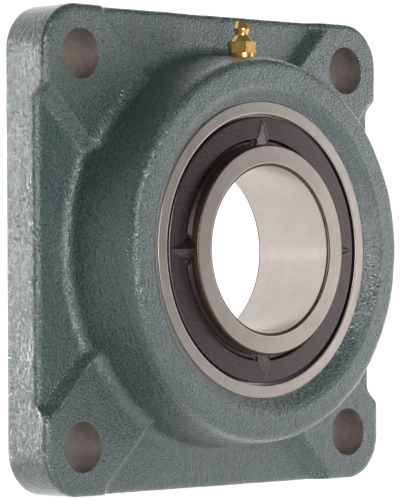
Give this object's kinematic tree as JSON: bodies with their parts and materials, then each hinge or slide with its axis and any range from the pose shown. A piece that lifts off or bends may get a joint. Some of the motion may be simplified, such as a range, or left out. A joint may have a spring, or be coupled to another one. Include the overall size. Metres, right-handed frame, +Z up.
{
  "type": "flange mount bearing",
  "caption": "Square flange housing with a self-aligning tapered-bore ball bearing insert, bolted to a wall to carry a rotating shaft.",
  "frame": {"origin": "centre of the four-bolt pattern on the flange's flat back face", "axes": "+Z up towards the grease fitting, the shaft axis along Y, the back face looks along +Y and the bearing's nose along -Y"},
  "size_m": [0.187, 0.05, 0.187],
  "materials": {
    "housing_paint": "green-grey enamel over sand-cast grain, bare metal in the bolt holes",
    "ring_steel": "fine ground bearing steel",
    "slinger_steel": "dark phosphate coated pressed steel",
    "seal_steel": "plain pressed steel",
    "seal_rubber": "moulded nitrile rubber",
    "ball_steel": "polished bearing steel",
    "cage_steel": "pressed steel strip",
    "pin_steel": "hardened steel",
    "spring_steel": "drawn spring wire",
    "fitting_brass": "machined brass"
  },
  "bodies": {
    "housing": {"housing": "housing_paint", "grease_fitting_body": "fitting_brass", "grease_fitting_spring": "spring_steel", "grease_fitting_retainer": "fitting_brass"},
    "locking_pin": {"locking_pin": "pin_steel"},
    "outer_ring": {"outer_ring": "ring_steel", "seal_core_front": "seal_steel", "seal_core_rear": "seal_steel", "seal_lip_front": "seal_rubber", "seal_lip_rear": "seal_rubber"},
    "inner_ring": {"inner_ring": "ring_steel", "slinger_front": "slinger_steel", "slinger_rear": "slinger_steel"},
    "cage": {"cage_front_half": "cage_steel", "cage_rear_half": "cage_steel", "cage_rivets": "cage_steel"},
    "check_ball": {"grease_fitting_ball": "ball_steel"},
    "ball_01": {"ball_01": "ball_steel"},
    "ball_02": {"ball_02": "ball_steel"},
    "ball_03": {"ball_03": "ball_steel"},
    "ball_04": {"ball_04": "ball_steel"},
    "ball_05": {"ball_05": "ball_steel"},
    "ball_06": {"ball_06": "ball_steel"},
    "ball_07": {"ball_07": "ball_steel"},
    "ball_08": {"ball_08": "ball_steel"},
    "ball_09": {"ball_09": "ball_steel"},
    "ball_10": {"ball_10": "ball_steel"}
  },
  "joints": [
    {"name": "align_yaw", "type": "hinge", "parent": "housing", "child": "locking_pin", "pos_m": [0, -0.03, 0], "axis": [0, 0, 1], "range_deg": [-2, 2]},
    {"name": "align_pitch", "type": "hinge", "parent": "locking_pin", "child": "outer_ring", "pos_m": [0, -0.03, 0], "axis": [1, 0, 0], "range_deg": [-2, 2]},
    {"name": "shaft_spin", "type": "hinge", "parent": "outer_ring", "child": "inner_ring", "pos_m": [0, -0.03, 0], "axis": [0, 1, 0], "continuous": true},
    {"name": "cage_spin", "type": "hinge", "parent": "outer_ring", "child": "cage", "pos_m": [0, -0.03, 0], "axis": [0, 1, 0], "continuous": true},
    {"name": "ball_01_spin", "type": "hinge", "parent": "cage", "child": "ball_01", "pos_m": [0.04625, -0.03, 0], "axis": [0, 1, 0], "continuous": true},
    {"name": "ball_02_spin", "type": "hinge", "parent": "cage", "child": "ball_02", "pos_m": [0.03742, -0.03, 0.02719], "axis": [0, 1, 0], "continuous": true},
    {"name": "ball_03_spin", "type": "hinge", "parent": "cage", "child": "ball_03", "pos_m": [0.01429, -0.03, 0.04399], "axis": [0, 1, 0], "continuous": true},
    {"name": "ball_04_spin", "type": "hinge", "parent": "cage", "child": "ball_04", "pos_m": [-0.01429, -0.03, 0.04399], "axis": [0, 1, 0], "continuous": true},
    {"name": "ball_05_spin", "type": "hinge", "parent": "cage", "child": "ball_05", "pos_m": [-0.03742, -0.03, 0.02719], "axis": [0, 1, 0], "continuous": true},
    {"name": "ball_06_spin", "type": "hinge", "parent": "cage", "child": "ball_06", "pos_m": [-0.04625, -0.03, 0], "axis": [0, 1, 0], "continuous": true},
    {"name": "ball_07_spin", "type": "hinge", "parent": "cage", "child": "ball_07", "pos_m": [-0.03742, -0.03, -0.02719], "axis": [0, 1, 0], "continuous": true},
    {"name": "ball_08_spin", "type": "hinge", "parent": "cage", "child": "ball_08", "pos_m": [-0.01429, -0.03, -0.04399], "axis": [0, 1, 0], "continuous": true},
    {"name": "ball_09_spin", "type": "hinge", "parent": "cage", "child": "ball_09", "pos_m": [0.01429, -0.03, -0.04399], "axis": [0, 1, 0], "continuous": true},
    {"name": "ball_10_spin", "type": "hinge", "parent": "cage", "child": "ball_10", "pos_m": [0.03742, -0.03, -0.02719], "axis": [0, 1, 0], "continuous": true},
    {"name": "check_ball_slide", "type": "slide", "parent": "housing", "child": "check_ball", "axis": [0, 0, 1], "range_m": [-0.0015, 0], "stiffness_N_per_m": 100, "deforming": ["grease_fitting_spring"]}
  ],
  "couplings": [
    {"joint": "cage_spin", "follows": "shaft_spin", "ratio": 0.4099},
    {"joint": "ball_01_spin", "follows": "shaft_spin", "ratio": -2.6845},
    {"joint": "ball_02_spin", "follows": "shaft_spin", "ratio": -2.6845},
    {"joint": "ball_03_spin", "follows": "shaft_spin", "ratio": -2.6845},
    {"joint": "ball_04_spin", "follows": "shaft_spin", "ratio": -2.6845},
    {"joint": "ball_05_spin", "follows": "shaft_spin", "ratio": -2.6845},
    {"joint": "ball_06_spin", "follows": "shaft_spin", "ratio": -2.6845},
    {"joint": "ball_07_spin", "follows": "shaft_spin", "ratio": -2.6845},
    {"joint": "ball_08_spin", "follows": "shaft_spin", "ratio": -2.6845},
    {"joint": "ball_09_spin", "follows": "shaft_spin", "ratio": -2.6845},
    {"joint": "ball_10_spin", "follows": "shaft_spin", "ratio": -2.6845}
  ]
}
